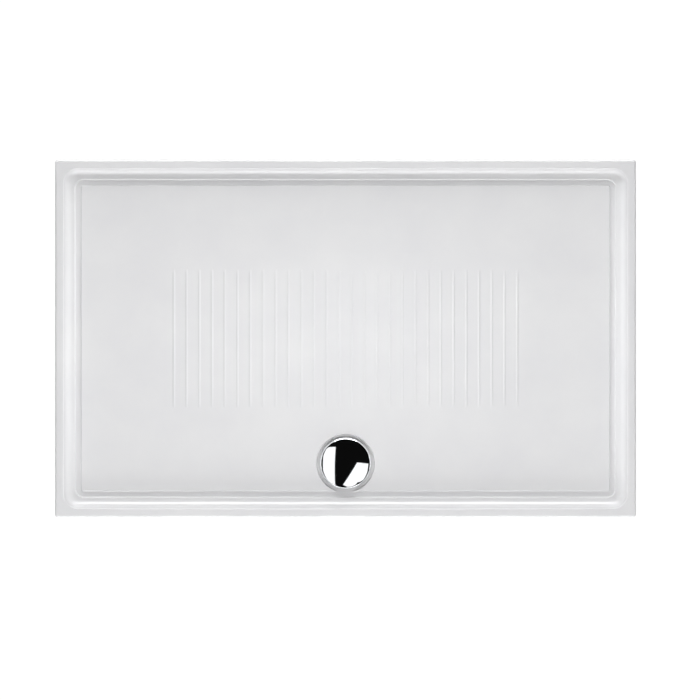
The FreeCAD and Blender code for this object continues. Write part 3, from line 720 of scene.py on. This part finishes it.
bore = laid_back(turned("bore", [(0, -238.5), (18.15, -238.5), (18.15, -216), (20.15, -216),
                                 (20.15, -188.8), (21.2, -187), (0, -187)], 64))
cut_with(bowl, spigot, "UNION")
cut_with(bowl, screw, "UNION")
cut_with(bowl, inside)
cut_with(bowl, bore)
finish(bowl, polypropylene, "tray_body", "white_polypropylene", "trap_bowl")

# ---------------------------------------------------------------- outlet union
# A rubber washer and a plastic slip ring lie against the spigot's mouth. The ribbed union nut
# presses them together round the waste pipe and is done up by hand.
washer = laid_back(turned("union_washer", rounded([
    (20.15, -188, 0.5), (23.75, -188, 0.5), (23.75, -184, 0.3), (20.15, -184, 0.3)]), 64))
finish(washer, rubber, "tray_body", "black_rubber", "outlet_washer")

# Moulded low-friction plastic, dyed blue through: smooth, slightly waxy, with faint flow lines.
blue, tree, place, shader = new_material("moulded_blue_polyethylene", {
    "Roughness": 0.3, "IOR": 1.5})
flow = add_node(tree, "ShaderNodeTexNoise", None, {"Vector": place, "Scale": 180.0, "Detail": 2.0,
                                                   "Distortion": 1.0})
ramp = add_node(tree, "ShaderNodeValToRGB", None, {"Fac": flow.outputs["Fac"]},
                [(0.3, "#23599B"), (0.7, "#2E69AE")])
tree.links.new(ramp.outputs["Color"], shader.inputs["Base Color"])
slip_ring = laid_back(turned("union_slip_ring", rounded([
    (20.15, -184, 0.2), (23.75, -184, 0.3), (23.75, -182.5, 0.3), (20.15, -182.5, 0.2)]), 64))
finish(slip_ring, blue, "tray_body", "blue_plastic", "outlet_slip_ring")

nut = turned("union_nut", rounded([
    (24.2, -205, 0.4), (29.7, -205, 1.2), (29.7, -180, 1.2), (20.6, -180, 0.5),
    (20.6, -182.45, 0.2), (24.2, -182.45, 0.3)]), 96)
rib = turned("rib", rounded([(0, -205, 0), (2, -205, 0.9), (2, -180, 0.9), (0, -180, 0)])[:-1],
             20)
ribs = [copy_to(rib, "rib", 29.7 * math.cos(turn), 29.7 * math.sin(turn))
        for turn in arc(0, 330, 11)]
bpy.data.objects.remove(rib, do_unlink=True)
cut_with(nut, join(ribs), "UNION")
finish(laid_back(nut), polypropylene, "outlet_nut", "white_polypropylene", "outlet_nut")

# ---------------------------------------------------------------- feet: pads and sockets
# Each of the six feet is modelled once about the origin and copied to its place. A rubber pad
# lies between the ceramic boss and a glass-filled nylon socket with four gussets, whose blind
# hole takes the threaded rod.


def copy_to_feet(piece, material, kind, body):
    piece.data.materials.clear()
    piece.data.materials.append(material)
    for name, (x, y) in feet.items():
        copy = copy_to(piece, kind + "_" + name, x, y)
        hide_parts(kind + "_foot_" + name)
        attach(copy, body.format(name))
    bpy.data.objects.remove(piece, do_unlink=True)


def add_gussets(piece, inner, outer, wide_z, tip_z):
    """Four upright triangular webs between a round tube and its flange."""
    for i in range(4):
        bpy.ops.object.select_all(action="DESELECT")
        length, height = outer - inner + 1, abs(tip_z - wide_z)
        bpy.ops.mesh.primitive_cube_add(
            size=1, location=((inner - 1 + length / 2) * MM, 0, (wide_z + tip_z) / 2 * MM),
            scale=(length * MM, 3 * MM, height * MM))
        web = begin("gusset")
        pick("VERT", lambda v: v.co.x > (outer - 0.1) * MM and abs(v.co.z - tip_z * MM) < 0.1 * MM)
        bpy.ops.transform.translate(value=(-(outer - inner - 0.6) * MM, 0, 0))
        bpy.ops.mesh.select_all(action="SELECT")
        bpy.ops.mesh.bevel(offset=0.35 * MM, segments=2, affect="EDGES")
        turn_all(math.radians(45 + 90 * i), "Z")
        end_edit()
        cut_with(piece, web, "UNION")


PAD_RADIUS = 30
low, high = levels("pad_foot_front_left")
rings = [(r + step, low + rise, 0) for r in (8, 14, 20, 26)
         for step, rise in ((-0.6, 0), (0, 0.6), (0.6, 0))]
pad = turned("pad", rounded(
    [(0, low, 0)] + rings + [(PAD_RADIUS, low, 0.8), (PAD_RADIUS, high, 0.8)]
    + [(r, low + high - z, 0) for r, z, size in rings[::-1]] + [(0, high, 0)])[:-1], 72)
smooth(pad, 30, weighted=False)
copy_to_feet(pad, rubber, "pad", "tray_body")

# Black nylon 6 filled with short glass fibre, moulded in a spark-eroded tool: an even grain of
# about 0.4 mm, a soft sheen, and greyish fibre clouds that hardly show.
nylon, tree, place, shader = new_material("moulded_glass_filled_nylon", {
    "IOR": 1.53, "Specular IOR Level": 0.45})
fibres = add_node(tree, "ShaderNodeTexNoise", None, {"Vector": place, "Scale": 120.0,
                                                     "Detail": 6.0, "Roughness": 0.7})
ramp = add_node(tree, "ShaderNodeValToRGB", None, {"Fac": fibres.outputs["Fac"]},
                [(0.35, "#141516"), (0.8, "#25272A")])
tree.links.new(ramp.outputs["Color"], shader.inputs["Base Color"])
sheen = add_node(tree, "ShaderNodeMapRange", None, {"Value": fibres.outputs["Fac"],
                                                    "To Min": 0.42, "To Max": 0.6})
tree.links.new(sheen.outputs["Result"], shader.inputs["Roughness"])
spark = add_node(tree, "ShaderNodeTexVoronoi", None, {"Vector": place, "Scale": 2500.0})
bump = add_node(tree, "ShaderNodeBump", None,
                {"Strength": 0.35, "Distance": 0.0001, "Height": spark.outputs["Distance"]})
tree.links.new(bump.outputs["Normal"], shader.inputs["Normal"])

end, top = levels("socket_foot_front_left")
TUBE, TUBE_BORE, PLATE = 13, 6.3, 6                # the socket's tube, its bore and its plate
socket = turned("socket", rounded([
    (0, top, 0), (PAD_RADIUS, top, 0.8), (PAD_RADIUS, top - PLATE, 1.2), (TUBE, top - PLATE, 1.5),
    (TUBE, end + 4, 0.3), (12.4, end + 3.4, 0.2), (12.4, end, 0.8), (TUBE_BORE, end, 0.6),
    (TUBE_BORE, top - 5, 0.3), (0, top - 5, 0)])[:-1], 72)
add_gussets(socket, TUBE, 28, top - PLATE, (end + top - PLATE) / 2)
smooth(socket, 30, weighted=False)
copy_to_feet(socket, nylon, "socket", "tray_body")

# ---------------------------------------------------------------- feet: lock nuts and rods
# A zinc-plated steel rod with an M12 thread stands in each foot's base and turns in the socket.
# The hexagon nut, chamfered on both faces, is run up against the socket to lock the height.

# Bright zinc plating on rolled and turned steel: bluish grey metal with a passivation tint, a
# crystalline mottle of 2 mm and patches that have dulled a little.
zinc, tree, place, shader = new_material("zinc_plated_steel", {"Metallic": 1.0})
mottle = add_node(tree, "ShaderNodeTexNoise", None, {"Vector": place, "Scale": 500.0,
                                                     "Detail": 4.0})
patch = add_node(tree, "ShaderNodeTexNoise", None, {"Vector": place, "Scale": 45.0,
                                                    "Detail": 3.0})
both = add_node(tree, "ShaderNodeMath", {"operation": "MULTIPLY_ADD"},
                {0: mottle.outputs["Fac"], 1: 0.4, 2: patch.outputs["Fac"]})
ramp = add_node(tree, "ShaderNodeValToRGB", None, {"Fac": both.outputs["Value"]},
                [(0.45, "#A3A8AE"), (0.7, "#B9BDC1"), (0.95, "#C6C5BE")])
tree.links.new(ramp.outputs["Color"], shader.inputs["Base Color"])
dulled = add_node(tree, "ShaderNodeMapRange", None, {"Value": both.outputs["Value"],
                                                     "From Min": 0.4, "From Max": 1.0,
                                                     "To Min": 0.24, "To Max": 0.46})
tree.links.new(dulled.outputs["Result"], shader.inputs["Roughness"])

low, high = levels("nut_foot_front_left")
bpy.ops.object.select_all(action="DESELECT")
bpy.ops.mesh.primitive_cylinder_add(vertices=6, radius=9 / math.cos(math.pi / 6) * MM,
                                    depth=(high - low) * MM,
                                    location=(0, 0, (low + high) / 2 * MM))
nut = begin("nut")
bpy.ops.object.mode_set(mode="OBJECT")
chamfers = turned("chamfers", [(0, low - 0.01), (8.7, low - 0.01), (9.89, low + 0.7),
                               (9.89, high - 0.7), (8.7, high + 0.01), (0, high + 0.01)], 96)
cut_with(nut, chamfers, "INTERSECT")
bore = turned("bore", [(0, low - 1), (7.0, low - 1), (7.0, low), (6.3, low + 0.7),
                       (6.3, high - 0.7), (7.0, high), (7.0, high + 1), (0, high + 1)], 48)
cut_with(nut, bore)
smooth(nut, 25, weighted=False)
copy_to_feet(nut, zinc, "nut", "nut_{}")

ROD_RADIUS, ROD_ROOT, ROD_PITCH = 6, 5.05, 1.75
low, high = levels("rod_foot_front_left")
rod = threaded_bar("rod", ROD_RADIUS, ROD_ROOT, ROD_PITCH, low, high, 24)
chamfers = turned("chamfers", [(0, low - 0.5), (4.4, low - 0.5), (6.1, low + 1.2),
                               (6.1, high - 1.2), (4.4, high + 0.5), (0, high + 0.5)], 48)
cut_with(rod, chamfers, "INTERSECT")
smooth(rod, 25, weighted=False)
copy_to_feet(rod, zinc, "rod", "foot_{}")

# ---------------------------------------------------------------- feet: bases and soles
# The nylon base has a hub that the rod is pressed into, four gussets, and a moulded rubber sole
# that is stretched over its edge and stands on the floor.
BASE_RADIUS, HUB, BASE_PLATE = 32, 12, 6
low, top = levels("base_foot_front_left")
base = turned("base", rounded([
    (0, low, 0), (BASE_RADIUS, low, 0.6), (BASE_RADIUS, low + BASE_PLATE, 1.6),
    (HUB, low + BASE_PLATE, 1.8), (HUB, top, 1.2), (ROD_RADIUS, top, 0.5),
    (ROD_RADIUS, low + 4, 0), (0, low + 4, 0)])[:-1], 72)
add_gussets(base, HUB, 30, low + BASE_PLATE, top)
smooth(base, 30, weighted=False)
copy_to_feet(base, nylon, "base", "foot_{}")

low, top = levels("sole_foot_front_left")
rings = [(r + step, low + rise, 0) for r in (8, 15, 22, 29)
         for step, rise in ((-0.8, 0), (0, 0.8), (0.8, 0))]
sole = turned("sole", rounded(
    [(0, low, 0)] + rings + [(34.5, low, 1.4), (34.5, top, 1.0), (BASE_RADIUS, top, 0.5),
                             (BASE_RADIUS, low + 3, 0.4), (0, low + 3, 0)])[:-1], 72)
smooth(sole, 30, weighted=False)
copy_to_feet(sole, rubber, "sole", "foot_{}")

# ---------------------------------------------------------------- floor and backdrop
# White paper on the floor and a paper wall far round it, so that the horizon is white too. The
# paper keeps the object's shadow, and from below the floor is see-through.
PAPER_SEEN, PAPER_WHITE = 0.92, 1.08    # how much the seen paper glows, and how brightly
bpy.ops.object.select_all(action="DESELECT")
bpy.ops.mesh.primitive_plane_add(size=90, location=(0, 0, 0))
floor = begin("studio_floor")
bpy.ops.object.mode_set(mode="OBJECT")
paper = bpy.data.materials.new("white_paper_sweep")
paper.use_nodes = True
tree = paper.node_tree
tree.nodes.clear()
path = add_node(tree, "ShaderNodeLightPath")
seen = add_node(tree, "ShaderNodeMath", {"operation": "MAXIMUM"},
                {0: path.outputs["Is Camera Ray"], 1: path.outputs["Is Glossy Ray"]})
seen = add_node(tree, "ShaderNodeMath", {"operation": "MAXIMUM"},
                {0: seen.outputs["Value"], 1: path.outputs["Is Transmission Ray"]})
share = add_node(tree, "ShaderNodeMath", {"operation": "MULTIPLY"},
                 {0: seen.outputs["Value"], 1: PAPER_SEEN})
matt = add_node(tree, "ShaderNodeBsdfDiffuse", None, {"Color": srgb("#DCDCDC")})
white = add_node(tree, "ShaderNodeEmission", None, {"Color": srgb("#FFFFFF"),
                                                    "Strength": PAPER_WHITE})
blend = add_node(tree, "ShaderNodeMixShader", None, {0: share.outputs["Value"],
                                                     1: matt.outputs["BSDF"],
                                                     2: white.outputs["Emission"]})
side = add_node(tree, "ShaderNodeNewGeometry")
clear = add_node(tree, "ShaderNodeBsdfTransparent")
sided = add_node(tree, "ShaderNodeMixShader", None, {0: side.outputs["Backfacing"],
                                                     1: blend.outputs["Shader"],
                                                     2: clear.outputs["BSDF"]})
add_node(tree, "ShaderNodeOutputMaterial", None, {"Surface": sided.outputs["Shader"]})
floor.data.materials.append(paper)

bpy.ops.object.select_all(action="DESELECT")
WALL_TALL = 18
bpy.ops.mesh.primitive_cylinder_add(vertices=96, radius=32, depth=WALL_TALL,
                                    end_fill_type="NOTHING", location=(0, 0, WALL_TALL / 2))
wall = begin("studio_wall")
bpy.ops.mesh.select_all(action="SELECT")
bpy.ops.mesh.flip_normals()
bpy.ops.object.mode_set(mode="OBJECT")
wall.data.materials.append(paper)

# ---------------------------------------------------------------- camera and lamps
# The camera looks straight down from 12 m with a long lens. Soft lamps stand at the back, the
# front and both sides, and a narrow lamp at each side lights the far half of the floor. The
# chrome mirrors a dark ceiling with bright cards.
camera_data = bpy.data.cameras.new("camera")
camera = bpy.data.objects.new("camera", camera_data)
bpy.context.scene.collection.objects.link(camera)
camera.location = (0.010, -0.0258, 12.155)
camera_data.sensor_width = 36
REACH, PICTURE, PIXEL = 12, 700, 2.238 * MM        # metres to the rim, pixels, a pixel at the rim
camera_data.lens = 36 * REACH / (PICTURE * PIXEL)
camera_data.clip_end = 200
bpy.context.scene.camera = camera


def lamp(name, place, size_x, size_y, brightness, mirrored=True, lights=True, turn=None,
         aim=(0, 0, 0.15), spread=180):
    """A lamp aimed at the object, or level where turn is given. Brightness 1 is white."""
    data = bpy.data.lights.new(name, "AREA")
    data.shape = "RECTANGLE"
    data.size, data.size_y = size_x, size_y
    data.energy = brightness * math.pi * size_x * size_y
    made = bpy.data.objects.new(name, data)
    bpy.context.scene.collection.objects.link(made)
    made.location = place
    data.spread = math.radians(spread)
    made.rotation_euler = (Vector(aim) - Vector(place)).to_track_quat("-Z", "Y").to_euler()
    if turn is not None:
        made.rotation_euler = (0, 0, math.radians(turn))
    made.visible_glossy = mirrored
    made.visible_diffuse = lights


for name, y, z, brightness in (("back_low", 2.80, 0.90, 5.3), ("back", 2.51, 1.60, 5.9),
                               ("front_low", -2.80, 0.90, 5.4), ("front_high", -1.45, 2.66, 4.9),
                               ("front", -2.38, 1.81, 2.2)):
    lamp(name + "_softbox", (0, y, z), 3.0, 0.7, brightness, mirrored=name != "front_high")
for side, x in (("left", -1), ("right", 1)):
    lamp(side + "_panel", (x * 6.78, 0, 4.39), 4.0, 2.0, 2.3)
    lamp(side + "_grid_spot", (x * 1.5, 0, 1.2), 0.3, 0.3, 0.65, mirrored=False,
         aim=(x * -0.5, 0, 0.14), spread=24)


CARD_RISE, CARD_BRIGHTNESS, COVER_TIP = 20.0, 1.3, 0.148


def card(name, corner, along, length, width):
    """A bright card level under the ceiling. Sizes are shares of its height over the cover. One
    corner is given from the cover's axis, along is the direction of its first edge in degrees,
    and the card lies to the right of that edge, or to the left where width is negative."""
    first = Vector((math.cos(math.radians(along)), math.sin(math.radians(along))))
    second = Vector((first.y, -first.x))
    middle = (Vector(corner) + first * length / 2 + second * width / 2) * CARD_RISE
    lamp(name, (middle.x, WASTE_Y * MM + middle.y, COVER_TIP + CARD_RISE), length * CARD_RISE,
         abs(width) * CARD_RISE, CARD_BRIGHTNESS, lights=False, turn=along)


card("left_card", (-0.25, -0.6), 88.3, 0.95, -0.29)
card("right_card_far", (0.25, 0.0), -6, 0.28, 0.45)
card("right_card_near", (0.25, 0.0), -121, 0.6, -0.26)

# The ceiling is white to the camera and dark to all other rays.
world = bpy.data.worlds.new("dark_ceiling")
bpy.context.scene.world = world
world.use_nodes = True
tree = world.node_tree
tree.nodes.clear()
path = add_node(tree, "ShaderNodeLightPath")
seen = add_node(tree, "ShaderNodeMath", {"operation": "MAXIMUM"},
                {0: path.outputs["Is Camera Ray"], 1: 0.004})
dark = add_node(tree, "ShaderNodeBackground", None, {"Color": srgb("#FFFFFF"),
                                                     "Strength": seen.outputs["Value"]})
add_node(tree, "ShaderNodeOutputWorld", None, {"Surface": dark.outputs["Background"]})
bpy.context.scene.view_settings.view_transform = "Standard"
